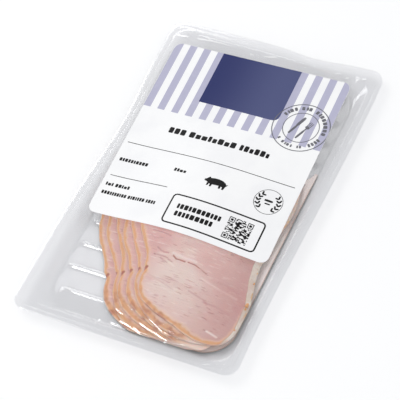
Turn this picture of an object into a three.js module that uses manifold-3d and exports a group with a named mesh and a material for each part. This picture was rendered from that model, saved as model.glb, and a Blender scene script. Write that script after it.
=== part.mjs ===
// A flat pack of sliced smoked pork loin: a shallow clear tray with a flange all round, six
// slices of loin laid like shingles in its lower end, a lid film sealed to the flange and drawn
// over the meat, and a large paper label on the film. Millimetres, +Z up. The origin is under
// the middle of the tray's floor, +X runs across the pack and +Y towards the label's top edge.

import * as THREE from 'three';
import { mergeVertices } from 'three/addons/utils/BufferGeometryUtils.js';
import Module from 'manifold-3d';

// Pack and tray
const PACK_WIDTH = 126;
const PACK_LENGTH = 200;
const FLANGE_TOP = 7.0;         // height of the flange's upper face above the table
const SHEET = 0.6;              // thickness of the formed tray
const FLANGE_WIDTH = 6.2;
const FLANGE_RADIUS = 8;        // corner of the flange's outer edge
const RIM_RADIUS = 10;          // corner where the wall leaves the flange
const FLOOR_INSET_SIDE = 11.8;  // from the pack's edge to the foot of a side wall
const FLOOR_INSET_END = 10.2;
const FLOOR_RADIUS = 17;
const FOLD = 0.9;               // rounding of the rim and of the foot of the wall
const FOOT_EASE = 0.2;          // how far the steps of that rounding stand off the sharp corner
const RIM_EASE = 0.5;

// The long and short edges aren't straight, because the drawn film pulls them in
const LEFT_PULL = 3.4;
const LEFT_DIP = [24, 38];      // middle and reach of the dip along the edge
const TOP_PULL = 2.2;
const TOP_DIP = [22, 17];
const RIGHT_SWAY = 1.0;
const SWAY_LENGTH = 130;
const FOOT_PULL = 0.1;          // share of the pull that reaches the wall's foot
const WALL_PULL = 0.8;
const RIM_PULL = 0.9;

// Cross ribs pressed up into the floor
const RIB_COUNT = 12;
const RIB_PITCH = 14.25;
const RIB_HALF_LENGTH = 48;
const RIB_HALF_WIDTH = 1.7;
const RIB_HEIGHT = 0.55;
const GROOVE_HALF_WIDTH = 1.2;
const GROOVE_DEPTH = 0.4;

// Lid film and label
const GAP = 0.3;                // air between pieces that touch
const FILM = 0.35;
const FILM_RISE = 5.7;          // how far the meat lifts the film above the flange
const FILM_CREST = 1;           // x of the highest line
const FILM_RAMP = 28;           // length of the rise from the lower end
const FILM_FALL = [-30, 62];    // y where the film starts and ends its fall to the flange
const LABEL = 0.25;
const LABEL_WIDTH = 102.5;
const LABEL_LENGTH = 120.5;
const LABEL_RADIUS = 4.5;
const LABEL_CENTRE = [-2.2, 25.5];
const LABEL_TURN = THREE.MathUtils.degToRad(1.4);

// Slices of loin
const SLICE_COUNT = 6;
const SLICE = 1.5;              // thickness of a slice
const SLICE_GAP = 0.4;
const SLICE_STEP = [-4.6, -0.9]; // from a slice to the one below it
const FAN = [1.2, -0.8];        // added to that step at the slices' lower ends
const FAN_FROM = -45;           // y from which the lower ends fan out
const FAN_REACH = 35;
const DRAPE = 20;               // width over which a slice sinks past the edge of one below
const MEAT_SIDE = 51.4;         // half the room for meat across and along the tray
const MEAT_END = 89.9;
const MEAT_RADIUS = 16.5;
const SCALLOP = 0.7;            // height of the waves in a slice's cut edge
const WAVES = [[5, 2.1, 1], [8, 3.7, 0.6]]; // waves round the edge, turn per slice and share
const MEAT_ROOM = 0.6;          // air left between the top slice and the film
const FOOT_ROOM = 0.4;          // air left between the ribs and the lowest slice

// How finely the outlines are stepped
const CORNER_STEPS = 6;
const LONG_STEPS = 12;
const SHORT_STEPS = 10;
const SLICE_POINTS = 40;
const SLICE_RINGS = [0.9, 0.78, 0.66, 0.54, 0.4, 0.2];
const FILM_RINGS = [0.94, 0.88, 0.8, 0.7, 0.58, 0.44, 0.3, 0.15];
const LABEL_RINGS = [0.9, 0.76, 0.6, 0.42, 0.22];
const LABEL_CORNER_STEPS = 3;
const BEAD_END_STEPS = 2;
const BEAD_SIDES = 10;

const wasm = await Module();
wasm.setup();

const { clamp, smoothstep } = THREE.MathUtils;

// ---------------------------------------------------------------- outlines

// A rounded rectangle, counter-clockwise from the lower right corner's start
function roundedRectangle(halfWidth, halfLength, radius, steps = CORNER_STEPS) {
  const points = [];
  const corners = [[1, -1, -90], [1, 1, 0], [-1, 1, 90], [-1, -1, 180]];
  corners.forEach(([sx, sy, start], i) => {
    const cx = sx * (halfWidth - radius);
    const cy = sy * (halfLength - radius);
    for (let k = 0; k <= steps; k++) {
      const angle = THREE.MathUtils.degToRad(start + (90 * k) / steps);
      points.push(new THREE.Vector2(cx + radius * Math.cos(angle), cy + radius * Math.sin(angle)));
    }
    const [nx, ny, nextStart] = corners[(i + 1) % 4];
    const angle = THREE.MathUtils.degToRad(nextStart);
    const next = new THREE.Vector2(
      nx * (halfWidth - radius) + radius * Math.cos(angle),
      ny * (halfLength - radius) + radius * Math.sin(angle));
    const last = points[points.length - 1];
    const sideSteps = i % 2 === 0 ? LONG_STEPS : SHORT_STEPS;
    for (let k = 1; k < sideSteps; k++) {
      points.push(last.clone().lerp(next, k / sideSteps));
    }
  });
  return points;
}

const bump = (t, middle, width) => Math.exp(-(((t - middle) / width) ** 2));

// Moves a point of the tray's outline as the pull of the film does, in full at the flange
function pulled(point, share) {
  const side = clamp(point.x / (PACK_WIDTH / 2), -1, 1);
  const end = clamp(point.y / (PACK_LENGTH / 2), -1, 1);
  const left = LEFT_PULL * bump(point.y, ...LEFT_DIP) * Math.max(-side, 0) ** 3;
  const sway = Math.sin((Math.PI * point.y) / SWAY_LENGTH) * (1 - Math.abs(end) ** 8);
  const right = RIGHT_SWAY * (sway - 1) * Math.max(side, 0) ** 3;
  const top = TOP_PULL * bump(point.x, ...TOP_DIP) * Math.max(end, 0) ** 8;
  return new THREE.Vector2(point.x + share * (left + right), point.y - share * top);
}

function trayRing(insetX, insetY, radius, z, share) {
  const outline = roundedRectangle(PACK_WIDTH / 2 - insetX, PACK_LENGTH / 2 - insetY, radius);
  return outline.map((point) => {
    const p = pulled(point, share);
    return new THREE.Vector3(p.x, p.y, z);
  });
}

// ---------------------------------------------------------------- meshes

// One closed body from rings that run from the middle of its upper face, over the edge and back
// to the middle of its lower face
function shell(rings, topCentre, bottomCentre) {
  const count = rings[0].length;
  const positions = [];
  const index = [];
  for (const ring of rings) {
    for (const p of ring) positions.push(p.x, p.y, p.z);
  }
  const topAt = positions.length / 3;
  positions.push(topCentre.x, topCentre.y, topCentre.z);
  const bottomAt = topAt + 1;
  positions.push(bottomCentre.x, bottomCentre.y, bottomCentre.z);
  for (let i = 0; i < count; i++) {
    const j = (i + 1) % count;
    index.push(topAt, i, j);
    for (let r = 0; r + 1 < rings.length; r++) {
      const a = r * count;
      const b = a + count;
      index.push(a + i, b + i, b + j, a + i, b + j, a + j);
    }
    const last = (rings.length - 1) * count;
    index.push(bottomAt, last + j, last + i);
  }
  const geometry = new THREE.BufferGeometry();
  geometry.setAttribute('position', new THREE.Float32BufferAttribute(positions, 3));
  geometry.setIndex(index);
  return geometry;
}

// A thin sheet between two height functions over one outline
function sheet(outline, shares, centre, lower, upper) {
  const at = (p, share) => new THREE.Vector2().lerpVectors(centre, p, share);
  const raise = (share, height) => outline.map((p) => {
    const q = at(p, share);
    return new THREE.Vector3(q.x, q.y, height(q.x, q.y));
  });
  const inward = [1, ...shares];
  const rings = [
    ...inward.slice().reverse().map((share) => raise(share, upper)),
    ...inward.map((share) => raise(share, lower)),
  ];
  const middle = (height) => new THREE.Vector3(centre.x, centre.y, height(centre.x, centre.y));
  return shell(rings, middle(upper), middle(lower));
}

function toManifold(geometry) {
  const bare = geometry.clone();
  bare.deleteAttribute('normal');
  bare.deleteAttribute('uv');
  const merged = mergeVertices(bare, 1e-4);
  return new wasm.Manifold(new wasm.Mesh({
    numProp: 3,
    vertProperties: new Float32Array(merged.attributes.position.array),
    triVerts: new Uint32Array(merged.index.array),
  }));
}

function fromManifold(solid) {
  const mesh = solid.getMesh();
  const geometry = new THREE.BufferGeometry();
  geometry.setAttribute('position', new THREE.Float32BufferAttribute(mesh.vertProperties, 3));
  geometry.setIndex(Array.from(mesh.triVerts));
  return geometry;
}

const group = new THREE.Group();

function addPiece(name, geometry, material) {
  const flat = geometry.index ? geometry.toNonIndexed() : geometry;
  flat.computeVertexNormals();
  const mesh = new THREE.Mesh(flat, material);
  mesh.name = name;
  group.add(mesh);
}

// ---------------------------------------------------------------- tray

// The formed sheet: flat flange, leaning walls and flat floor, upper face first
function trayShell() {
  const floorTop = SHEET;
  const lean = (FLOOR_INSET_SIDE - FLANGE_WIDTH) / (FLANGE_TOP - floorTop);
  const lower = (inX, inY, radius, z, share) =>
    trayRing(inX - SHEET * lean, inY - SHEET * lean, radius + SHEET * lean, z - SHEET, share);
  const footX = FLOOR_INSET_SIDE - FOOT_EASE;
  const footY = FLOOR_INSET_END - FOOT_EASE;
  const wallTop = FLANGE_WIDTH + RIM_EASE;
  const rim = FLANGE_WIDTH - FOOT_EASE;
  const profile = [
    [FLOOR_INSET_SIDE + FOLD, FLOOR_INSET_END + FOLD, FLOOR_RADIUS - FOLD, floorTop, 0],
    [footX, footY, FLOOR_RADIUS, floorTop + FOLD / 2, FOOT_PULL],
    [wallTop, wallTop, RIM_RADIUS, FLANGE_TOP - FOLD, WALL_PULL],
    [rim, rim, RIM_RADIUS, FLANGE_TOP, RIM_PULL],
  ];
  const edgeTop = trayRing(0, 0, FLANGE_RADIUS, FLANGE_TOP, 1);
  const edgeBottom = trayRing(0, 0, FLANGE_RADIUS, FLANGE_TOP - SHEET, 1);
  const rings = [
    ...profile.map((step) => trayRing(...step)),
    edgeTop,
    edgeBottom,
    ...profile.slice().reverse().map((step) => lower(...step)),
  ];
  return shell(rings, new THREE.Vector3(0, 0, floorTop), new THREE.Vector3(0, 0, 0));
}

// A long bead across the tray, flattened to an ellipse in section
function crossBead(y, z, halfWidth, height) {
  const straight = 2 * (RIB_HALF_LENGTH - halfWidth);
  const bead = new THREE.CapsuleGeometry(halfWidth, straight, BEAD_END_STEPS, BEAD_SIDES);
  bead.rotateZ(Math.PI / 2);
  bead.scale(1, 1, height / halfWidth);
  bead.translate(0, y, z);
  return toManifold(bead);
}

function buildTray() {
  let tray = toManifold(trayShell());
  for (let i = 0; i < RIB_COUNT; i++) {
    const y = (i - (RIB_COUNT - 1) / 2) * RIB_PITCH;
    tray = tray.add(crossBead(y, SHEET, RIB_HALF_WIDTH, RIB_HEIGHT));
    tray = tray.subtract(crossBead(y, 0, GROOVE_HALF_WIDTH, GROOVE_DEPTH));
  }
  return fromManifold(tray);
}

const clearTray = new THREE.MeshStandardMaterial({
  color: 0xe4e6ea, roughness: 0.12, metalness: 0, transparent: true, opacity: 0.35,
});
addPiece('tray', buildTray(), clearTray);

// ---------------------------------------------------------------- lid film

const filmRest = FLANGE_TOP + GAP;

// How far the film stands above the flange: a long dome over the meat, flat at the empty end
function filmLift(x, y) {
  const halfSpan = PACK_WIDTH / 2 - FLANGE_WIDTH;
  const across = Math.cos((Math.PI / 2) * clamp(Math.abs(x - FILM_CREST) / halfSpan, 0, 1)) ** 2;
  const fromEnd = (y + PACK_LENGTH / 2 - FLANGE_WIDTH) / FILM_RAMP;
  const nearEnd = Math.sin((Math.PI / 2) * clamp(fromEnd, 0, 1));
  const farEnd = 1 - smoothstep(y, ...FILM_FALL);
  return FILM_RISE * across * nearEnd * farEnd;
}

const filmUnderside = (x, y) => filmRest + filmLift(x, y);
const filmTop = (x, y) => filmUnderside(x, y) + FILM;

const filmOutline = trayRing(0, 0, FLANGE_RADIUS, 0, 1).map((p) => new THREE.Vector2(p.x, p.y));
const clearFilm = new THREE.MeshStandardMaterial({
  color: 0xf2f4f6, roughness: 0.08, metalness: 0, transparent: true, opacity: 0.2,
});
addPiece('lid_film',
  sheet(filmOutline, FILM_RINGS, new THREE.Vector2(0, 0), filmUnderside, filmTop), clearFilm);

// ---------------------------------------------------------------- label

function buildLabel() {
  const centre = new THREE.Vector2(...LABEL_CENTRE);
  const outline = roundedRectangle(
    LABEL_WIDTH / 2, LABEL_LENGTH / 2, LABEL_RADIUS, LABEL_CORNER_STEPS);
  for (const p of outline) p.rotateAround(new THREE.Vector2(), LABEL_TURN).add(centre);
  const under = (x, y) => filmTop(x, y) + GAP;
  return sheet(outline, LABEL_RINGS, centre, under, (x, y) => under(x, y) + LABEL);
}

const paper = new THREE.MeshStandardMaterial({ color: 0xf6f6f6, roughness: 0.6, metalness: 0 });
addPiece('label', buildLabel(), paper);

// ---------------------------------------------------------------- slices

// The cut face of the loin where the top slice lies: the long straight side, where the fat is,
// lies along the tray's right wall, and the round side looks to the left
const LOIN = [
  [22, -84.2], [36, -87], [47, -84], [51.3, -73], [49.8, -58], [47, -38], [47.5, -14],
  [49.5, 6], [41.5, 26], [14, 34], [-14, 25], [-27, 2], [-21, -32], [-8, -53], [-2, -71], [8, -79.5],
];
const LOIN_MIDDLE = new THREE.Vector2(16, -30);
const waveReach = SCALLOP * WAVES.reduce((sum, [, , share]) => sum + share, 0);

// The nearest place within the tray's walls
function withinTray(point) {
  const coreX = MEAT_SIDE - MEAT_RADIUS;
  const coreY = MEAT_END - MEAT_RADIUS;
  const core = new THREE.Vector2(clamp(point.x, -coreX, coreX), clamp(point.y, -coreY, coreY));
  const away = point.clone().sub(core);
  return core.add(away.clampLength(0, MEAT_RADIUS));
}

// The cut edge of slice k, counted from the bottom, with waves of the given height
function sliceOutline(k, waves) {
  const down = SLICE_COUNT - 1 - k;
  const curve = new THREE.CatmullRomCurve3(
    LOIN.map(([x, y]) => new THREE.Vector3(x, y, 0)), true, 'catmullrom', 0.5);
  return curve.getSpacedPoints(SLICE_POINTS).slice(0, SLICE_POINTS).map((p, i) => {
    const turn = (2 * Math.PI * i) / SLICE_POINTS;
    const wave = WAVES.reduce(
      (sum, [count, phase, share]) => sum + share * Math.sin(count * turn + phase * k), 0);
    const point = new THREE.Vector2(p.x, p.y);
    const fan = down * smoothstep(FAN_FROM - p.y, 0, FAN_REACH);
    point.addScaledVector(point.clone().sub(LOIN_MIDDLE).normalize(), waves * wave);
    point.x += SLICE_STEP[0] * down + FAN[0] * fan;
    point.y += SLICE_STEP[1] * down + FAN[1] * fan;
    return withinTray(point);
  });
}

const outlines = Array.from({ length: SLICE_COUNT }, (_, k) => sliceOutline(k, SCALLOP));
const plainOutlines = outlines.map((_, k) => sliceOutline(k, 0));

// Distance from a point to an outline, 0 inside it
function distanceOutside(x, y, outline) {
  const point = new THREE.Vector2(x, y);
  let inside = false;
  let nearest = Infinity;
  outline.forEach((a, i) => {
    const b = outline[(i + 1) % outline.length];
    const along = b.clone().sub(a);
    const share = clamp(point.clone().sub(a).dot(along) / along.lengthSq(), 0, 1);
    nearest = Math.min(nearest, point.distanceTo(a.clone().addScaledVector(along, share)));
    const crosses = (a.y > y) !== (b.y > y);
    if (crosses && x < a.x + ((y - a.y) / (b.y - a.y)) * (b.x - a.x)) inside = !inside;
  });
  return inside ? 0 : nearest;
}

const stackFoot = SHEET + RIB_HEIGHT + FOOT_ROOM;

// Slices thin out where the film presses the stack down
function sliceThickness(x, y) {
  const room = filmUnderside(x, y) - MEAT_ROOM - stackFoot;
  return Math.min(SLICE, (room - (SLICE_COUNT - 1) * SLICE_GAP) / SLICE_COUNT);
}

// A slice lies on all those below it and sinks to the floor past their edges
function sliceUnderside(k, x, y) {
  let z = stackFoot;
  for (let j = 0; j < k; j++) {
    const past = distanceOutside(x, y, plainOutlines[j]) - waveReach;
    z += (sliceThickness(x, y) + SLICE_GAP) * (1 - smoothstep(past, 0, DRAPE));
  }
  return z;
}

const meat = new THREE.MeshStandardMaterial({ color: 0xdfb9b1, roughness: 0.45, metalness: 0 });

outlines.forEach((outline, k) => {
  const middle = outline.reduce((sum, p) => sum.add(p), new THREE.Vector2())
    .divideScalar(outline.length);
  const under = (x, y) => sliceUnderside(k, x, y);
  const over = (x, y) => under(x, y) + sliceThickness(x, y);
  addPiece(`slice_${k + 1}`, sheet(outline, SLICE_RINGS, middle, under, over), meat);
});

export default group;
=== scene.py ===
"""A flat pack of sliced smoked pork loin: a clear formed tray, six slices laid like shingles,
a clear lid film sealed over them and a printed paper label. The parts follow in the order in
which such a pack is filled and closed."""

import math
import random

import bmesh
import bpy
import numpy as np
from mathutils import Matrix, Vector, noise


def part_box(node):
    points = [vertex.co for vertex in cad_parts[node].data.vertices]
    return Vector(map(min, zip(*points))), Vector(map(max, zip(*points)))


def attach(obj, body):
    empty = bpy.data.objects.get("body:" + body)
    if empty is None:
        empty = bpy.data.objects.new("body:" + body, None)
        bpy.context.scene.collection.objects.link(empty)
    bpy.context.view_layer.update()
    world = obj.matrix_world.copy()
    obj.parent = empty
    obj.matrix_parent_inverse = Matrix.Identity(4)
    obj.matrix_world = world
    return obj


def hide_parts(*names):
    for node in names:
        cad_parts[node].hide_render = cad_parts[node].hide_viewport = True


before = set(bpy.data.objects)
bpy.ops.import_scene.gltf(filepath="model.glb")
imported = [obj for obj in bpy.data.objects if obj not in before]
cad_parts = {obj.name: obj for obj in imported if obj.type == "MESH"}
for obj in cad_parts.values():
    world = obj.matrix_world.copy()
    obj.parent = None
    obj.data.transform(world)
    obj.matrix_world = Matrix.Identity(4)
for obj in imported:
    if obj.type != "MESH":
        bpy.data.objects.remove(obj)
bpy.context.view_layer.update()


# ---------- the tray
# A shallow tray drawn from one sheet of clear plastic over a mould. It has a flat flange for the
# lid, leaning walls, and a floor stiffened by twelve cross ribs that are pressed up from below.

MM = 0.001
_, tray_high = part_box("tray")
HALF_WIDTH = tray_high.x
HALF_LENGTH = tray_high.y
FLANGE_TOP = tray_high.z
SHEET = 0.6 * MM
FLANGE_WIDTH = 6.2 * MM
SEAL_RIDGE = 3.1 * MM           # from the flange's edge to the ridge left by the sealing tool
RIDGE_DEPTH = 0.25 * MM
RIDGE_REACH = 0.5 * MM
LIP_DROP = 0.3 * MM             # the cut edge turns down a little
LIP_REACH = 0.4 * MM
FOLD = 0.9 * MM                 # how far from a corner the sheet starts to bend
FOLD_STEPS = 5
TIGHT_RADIUS = 1.2 * MM         # a bend of this radius or less shows most
CLOSEST = 0.01 * MM

# Half width, half length and corner of the floor, the rim and the outer edge, with their height
# and the share in which each follows the pull of the film
FLOOR_EDGE = np.array([HALF_WIDTH - 11.8 * MM, HALF_LENGTH - 10.2 * MM, 17 * MM, SHEET, 0.0])
RIM = np.array([HALF_WIDTH - FLANGE_WIDTH, HALF_LENGTH - FLANGE_WIDTH, 10 * MM, FLANGE_TOP, 0.9])
OUTER_RADIUS = 8 * MM
OUTER_EDGE = np.array([HALF_WIDTH, HALF_LENGTH, OUTER_RADIUS, FLANGE_TOP, 1.0])
FLOOR_INSET = 1.2 * MM          # from the floor's edge to the fold's inner side
WALL_RINGS = (0.4, 0.6)         # outlines up the wall, and across the flange from its edge
FLANGE_RINGS = np.array([4.6, 3.9, 3.5, 3.1, 2.7, 2.3, 1.6, 0.7, 0.25, 0]) * MM

PANEL_X = 48.6 * MM             # half size of the floor's ribbed panel
PANEL_Y = 80.6 * MM
PANEL_RADIUS = 13 * MM
RIB_COUNT = 12
RIB_PITCH = 14.25 * MM
RIB_HALF_LENGTH = 48 * MM
RIB_HALF_WIDTH = 1.7 * MM
RIB_HEIGHT = 0.8 * MM
RIB_CROWDING = 0.55             # how much closer the sheet's lines lie where the ribs are

LEFT_PULL = 3.4 * MM            # how far the drawn film pulls the edges in
LEFT_DIP = (24 * MM, 38 * MM)
TOP_PULL = 2.2 * MM
TOP_DIP = (22 * MM, 17 * MM)
RIGHT_SWAY = 1.0 * MM
SWAY_LENGTH = 130 * MM


def vertex_places(piece):
    places = np.empty(len(piece.data.vertices) * 3)
    piece.data.vertices.foreach_get("co", places)
    return places.reshape(-1, 3)


def flat_grid(name, columns, rows):
    """A square sheet from -1 to 1 both ways, and the places of its vertices."""
    bpy.ops.object.select_all(action="DESELECT")
    bpy.ops.mesh.primitive_grid_add(x_subdivisions=columns, y_subdivisions=rows, size=2)
    piece = bpy.context.object
    piece.name = name
    return piece, vertex_places(piece)


def lay_vertices(piece, places):
    piece.data.vertices.foreach_set("co", places.ravel())
    piece.data.update()


def round_corners(x, y, half_x, half_y, radius):
    """Draws a sharp rectangle's points in, so that its corners become round."""
    core_x = half_x - radius
    core_y = half_y - radius
    over_x = np.maximum(np.abs(x) - core_x, 0)
    over_y = np.maximum(np.abs(y) - core_y, 0)
    reach = np.maximum(np.hypot(over_x, over_y), 1e-9)
    share = np.maximum(over_x, over_y) / reach
    round_x = np.sign(x) * (np.minimum(np.abs(x), core_x) + over_x * share)
    round_y = np.sign(y) * (np.minimum(np.abs(y), core_y) + over_y * share)
    return round_x, round_y


def bump(t, middle, reach):
    return np.exp(-(((t - middle) / reach) ** 2))


def pulled(x, y, share):
    """Where a point of the flange comes to lie once the film has drawn it in."""
    side = np.clip(x / HALF_WIDTH, -1, 1)
    end = np.clip(y / HALF_LENGTH, -1, 1)
    left = LEFT_PULL * bump(y, *LEFT_DIP) * np.maximum(-side, 0) ** 3
    sway = np.sin(math.pi * y / SWAY_LENGTH) * (1 - np.abs(end) ** 8)
    right = RIGHT_SWAY * (sway - 1) * np.maximum(side, 0) ** 3
    top = TOP_PULL * bump(x, *TOP_DIP) * np.maximum(end, 0) ** 8
    return x + share * (left + right), y - share * top


def fold_between(before, corner, after):
    """The outlines that take the sheet round one fold, from one face to the next."""
    def towards(target):
        rise = np.hypot(*(target - corner)[[0, 3]])
        return corner + (target - corner) * (FOLD / rise)
    first = towards(before)
    last = towards(after)
    for t in np.linspace(0, 1, FOLD_STEPS):
        yield first * (1 - t) ** 2 + corner * 2 * t * (1 - t) + last * t ** 2


def tray_outlines():
    """Every outline of the sheet from the floor's panel out to the flange's edge."""
    inner_floor = FLOOR_EDGE - FLOOR_INSET * np.array([1, 1, 1, 0, 0])
    yield inner_floor
    yield from fold_between(inner_floor, FLOOR_EDGE, RIM)
    for share in WALL_RINGS:
        yield FLOOR_EDGE + (RIM - FLOOR_EDGE) * share
    yield from fold_between(FLOOR_EDGE, RIM, OUTER_EDGE)
    for inset in FLANGE_RINGS:
        outline = OUTER_EDGE + (RIM - OUTER_EDGE) * (inset / FLANGE_WIDTH)
        outline[3] -= RIDGE_DEPTH * bump(inset, SEAL_RIDGE, RIDGE_REACH)
        outline[3] -= LIP_DROP * bump(inset, 0, LIP_REACH)
        yield outline


def around(vertex):
    """Order of a vertex along an outline, counted from just before the middle of the right side."""
    return (math.atan2(vertex.co.y / HALF_LENGTH, vertex.co.x / HALF_WIDTH) + 0.001) % math.tau


def face_up(piece):
    """Turns a sheet's faces to the same side, its upper one."""
    bpy.ops.object.mode_set(mode="EDIT")
    bpy.ops.mesh.select_all(action="SELECT")
    bpy.ops.mesh.normals_make_consistent(inside=False)
    mesh = bmesh.from_edit_mesh(piece.data)
    if sum(face.normal.z for face in mesh.faces) < 0:
        bpy.ops.mesh.flip_normals()
    bpy.ops.object.mode_set(mode="OBJECT")


def thicken(piece, thickness):
    """Gives a sheet its thickness below its upper face."""
    wall = piece.modifiers.new("thickness", "SOLIDIFY")
    wall.thickness = thickness
    wall.offset = -1
    bpy.ops.object.modifier_apply(modifier=wall.name)


def write_marks(piece, name, values):
    """Stores a value for each vertex, for the material to read."""
    layer = piece.data.attributes.new(name, "FLOAT", "POINT")
    layer.data.foreach_set("value", values.astype(np.float32))


def mark_bends(piece):
    """Notes on each vertex how tightly the sheet is bent there, from 0 to 1."""
    mesh = bmesh.new()
    mesh.from_mesh(piece.data)
    bends = np.zeros(len(mesh.verts))
    for edge in mesh.edges:
        if len(edge.link_faces) == 2:
            one, other = edge.link_faces
            apart = (one.calc_center_median() - other.calc_center_median()).length
            bend = TIGHT_RADIUS * edge.calc_face_angle(0.0) / max(apart, CLOSEST)
            for vertex in edge.verts:
                bends[vertex.index] = max(bends[vertex.index], min(bend, 1))
    mesh.free()
    write_marks(piece, "bend", bends)


tray, places = flat_grid("formed_tray", 56, 236)
sharp = places[:, :2].copy()
xs, ys = round_corners(sharp[:, 0] * PANEL_X, sharp[:, 1] * PANEL_Y,
                       PANEL_X, PANEL_Y, PANEL_RADIUS)
places[:, 0], places[:, 1] = xs, ys
crowding = RIB_CROWDING * RIB_PITCH / math.tau
places[:, 1] += crowding * np.sin(math.tau * places[:, 1] / RIB_PITCH)
places[:, 2] = SHEET
lay_vertices(tray, places)

bpy.ops.object.mode_set(mode="EDIT")
bpy.ops.mesh.select_mode(type="EDGE")
bpy.ops.mesh.select_all(action="DESELECT")
bpy.ops.mesh.select_non_manifold(extend=False)
mesh = bmesh.from_edit_mesh(tray.data)
border = sorted((v for v in mesh.verts if v.select), key=around)
border_x, border_y = np.array([sharp[v.index] for v in border]).T
for half_x, half_y, radius, height, share in tray_outlines():
    bpy.ops.mesh.extrude_edges_move()
    mesh = bmesh.from_edit_mesh(tray.data)
    loop = sorted((v for v in mesh.verts if v.select), key=around)
    xs, ys = round_corners(border_x * half_x, border_y * half_y, half_x, half_y, radius)
    xs, ys = pulled(xs, ys, share)
    for vertex, x, y in zip(loop, xs, ys):
        vertex.co = (x, y, height)
    bmesh.update_edit_mesh(tray.data)
face_up(tray)

places = vertex_places(tray)
core = RIB_HALF_LENGTH - RIB_HALF_WIDTH
for i in range(RIB_COUNT):
    rib_y = (i - (RIB_COUNT - 1) / 2) * RIB_PITCH
    past_end = np.maximum(np.abs(places[:, 0]) - core, 0)
    away = np.hypot(past_end, places[:, 1] - rib_y) / RIB_HALF_WIDTH
    places[:, 2] += RIB_HEIGHT * np.cos(math.pi / 2 * np.minimum(away, 1)) ** 2
lay_vertices(tray, places)
mark_bends(tray)
thicken(tray, SHEET)
bpy.ops.object.shade_smooth_by_angle(angle=math.radians(50))


def add_node(material, kind, inputs=(), **settings):
    """Adds a shader node. Each of its inputs takes a value, or another node's output."""
    tree = material.node_tree
    node = tree.nodes.new("ShaderNode" + kind)
    for name, value in settings.items():
        setattr(node, name, value)
    for name, value in dict(inputs).items():
        if isinstance(value, bpy.types.NodeSocket):
            tree.links.new(value, node.inputs[name])
        else:
            node.inputs[name].default_value = value
    return node


def clear_plastic(name, tint, mirror, low_mirror, bend_mirror, roughness, ripple_size,
                  ripple_depth):
    """A clear sheet with a tint, which mirrors more at a low angle and along its bends."""
    material = bpy.data.materials.new(name)
    material.use_nodes = True
    material.node_tree.nodes.clear()
    where = add_node(material, "TexCoord").outputs["Object"]
    ripples = add_node(material, "TexNoise", {
        "Vector": where, "Scale": 1 / ripple_size, "Detail": 3}).outputs["Fac"]
    relief = add_node(material, "Bump", {
        "Height": ripples, "Distance": ripple_depth, "Strength": 1}).outputs["Normal"]
    facing = add_node(material, "LayerWeight", {"Normal": relief, "Blend": 0.5})
    steeper = add_node(material, "Math", {0: facing.outputs["Facing"], 1: 5}, operation="POWER")
    stronger = add_node(material, "Math", {0: steeper.outputs["Value"], 1: low_mirror, 2: mirror},
                        operation="MULTIPLY_ADD")
    bend = add_node(material, "Attribute", attribute_name="bend").outputs["Fac"]
    along_bends = add_node(material, "Math", {
        0: bend, 1: bend_mirror, 2: stronger.outputs["Value"]},
        operation="MULTIPLY_ADD", use_clamp=True)
    clear = add_node(material, "BsdfTransparent", {"Color": (*tint, 1)})
    shine = add_node(material, "BsdfPrincipled", {
        "Base Color": (1, 1, 1, 1), "Metallic": 1, "Roughness": roughness, "Normal": relief})
    mix = add_node(material, "MixShader", {
        "Fac": along_bends.outputs["Value"], 1: clear.outputs["BSDF"], 2: shine.outputs["BSDF"]})
    add_node(material, "OutputMaterial", {"Surface": mix.outputs["Shader"]})
    return material


tray.data.materials.append(clear_plastic(
    "tray_plastic", tint=(0.988, 0.989, 0.993), mirror=0.04, low_mirror=0.14,
    bend_mirror=0.05, roughness=0.09, ripple_size=14 * MM, ripple_depth=0.1 * MM))
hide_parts("tray")
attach(tray, "root")


# ---------- the slices
# Six thin slices cut across a smoked loin, with a browned rind, lean meat and a band of fat on
# one side. Each lies a little further to the right than the one below it, and the film presses
# them down towards the tray's edges.

SLICE_COUNT = 6
SLICE = 1.5 * MM
SLICE_GAP = 0.4 * MM
SLICE_STEP = np.array([-4.6, -0.9]) * MM
FAN = np.array([1.2, -0.8]) * MM        # added to that step at the slices' lower ends
FAN_FROM = -45 * MM
FAN_REACH = 35 * MM
DRAPE = 20 * MM
MEAT_SIDE = 51.4 * MM
MEAT_END = 90.3 * MM
MEAT_RADIUS = 16.5 * MM
SCALLOP = 0.7 * MM
WAVES = ((5, 2.1, 1), (8, 3.7, 0.6))    # waves round the edge, turn per slice and share
WAVE_REACH = 1.6 * SCALLOP
MEAT_ROOM = 0.6 * MM
STACK_FOOT = 1.55 * MM
EDGE_ROUND = 0.9 * MM
EDGE_CROWDING = 0.85            # draws a slice's squares together towards its edge
LOIN_MIDDLE = np.array([16, -30]) * MM
LOIN = np.array([
    [22, -84.2], [36, -87], [47, -84], [51.3, -73], [50.8, -58], [48.4, -38], [47.5, -14],
    [49.5, 6], [41.5, 26], [14, 34], [-14, 25], [-27, 2], [-21, -32], [-8, -53], [-2, -71],
    [8, -79.5]]) * MM
NOTCH = np.array([-6.2, -60.5]) * MM    # where a vein enters the loin's rind
NOTCH_DEPTH = 1.5 * MM
NOTCH_REACH = 2.2 * MM
VEIN = NOTCH + np.array([[2.0, 2.4], [0.6, -0.6]]) * MM
VEIN_WIDTH, VEIN_DEPTH = 0.95, 1.15
FRINGE = 0.5 * MM               # uneven edge of the cut
FRINGE_SIZE = 5 * MM
GRAIN_SIZE = np.array([14, 1.5]) * MM   # length and width of the fibres in relief
SWELL_SIZE = 9 * MM
GRAIN_RISE, SWELL_RISE, FAT_RISE = 0.07 * MM, 0.16 * MM, 0.12 * MM
SLIT_DEPTH, CREASE_DEPTH = 0.3 * MM, 0.22 * MM
RELIEF_EDGE, RELIEF_LEAST = 2 * MM, 0.2     # the relief fades towards the cut edge
TOP_CURL, BOTTOM_CURL = 0.42, 0.25      # share of the thickness that the edge curls in
FIRST_LIFT = 0.01 * MM          # the extruded face's height, before its relief is laid

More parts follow.
